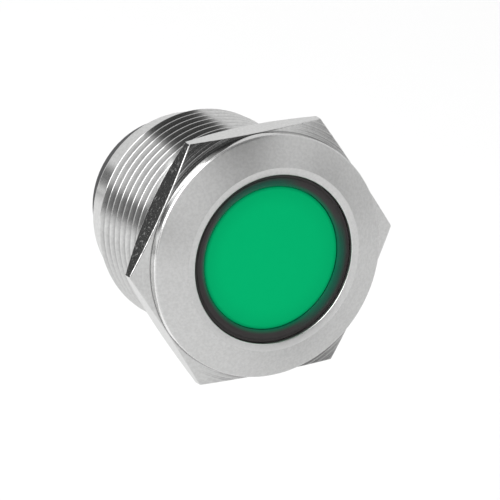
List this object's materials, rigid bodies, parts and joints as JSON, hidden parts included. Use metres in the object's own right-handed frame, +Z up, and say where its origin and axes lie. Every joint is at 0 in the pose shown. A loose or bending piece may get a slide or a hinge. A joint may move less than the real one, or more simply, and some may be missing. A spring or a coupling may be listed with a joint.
{
  "type": "panel pilot light",
  "caption": "Metal pilot light with a hexagon head, a round green lens in a black ring, a threaded barrel for a round panel hole, and solder tabs at the rear.",
  "frame": {"origin": "on the lamp's axis, in the plane of the head's rear face, which seats on the front of the panel", "axes": "+Y along the barrel towards the terminals, so the lens faces -Y; +Z up, with a flat of the hexagon on top; +X to the right for someone who looks at the lens"},
  "size_m": [0.0254, 0.0263, 0.022],
  "materials": {
    "plated_body": "nickel plated, finely turned",
    "black_ring": "moulded, satin",
    "green_lens": "translucent green, smooth",
    "frosted_disc": "frosted",
    "seal_rubber": "soft, black",
    "white_cup": "moulded, white",
    "lamp_board": "white solder mask",
    "driver_board": "green solder mask",
    "spacer_plastic": "moulded, natural",
    "chip_body": "moulded, pale",
    "black_epoxy": "moulded epoxy",
    "can_metal": "bright can",
    "resistor_ceramic": "glazed black top",
    "solder": "bright solder",
    "pin_metal": "bright",
    "base_plastic": "moulded, black",
    "potting_resin": "poured, glossy",
    "tinned_tab": "tin plated"
  },
  "bodies": {
    "root": {"bezel_body": "plated_body", "lens_ring": "black_ring", "lens": "green_lens", "diffuser": "frosted_disc", "lens_gasket": "seal_rubber", "light_cup": "white_cup", "led_board": "lamp_board", "led_chip_centre": "chip_body", "led_chip_1": "chip_body", "led_chip_2": "chip_body", "led_chip_3": "chip_body", "led_chip_4": "chip_body", "board_spacer": "spacer_plastic", "driver_board": "driver_board", "bridge_rectifier": "black_epoxy", "smoothing_capacitor": "can_metal", "resistor_1": "resistor_ceramic", "resistor_2": "resistor_ceramic", "link_pin_1": "pin_metal", "link_pin_2": "pin_metal", "solder_joints": "solder", "rear_base": "base_plastic", "rear_resin": "potting_resin", "terminal_plus": "tinned_tab", "terminal_minus": "tinned_tab"}
  },
  "joints": []
}
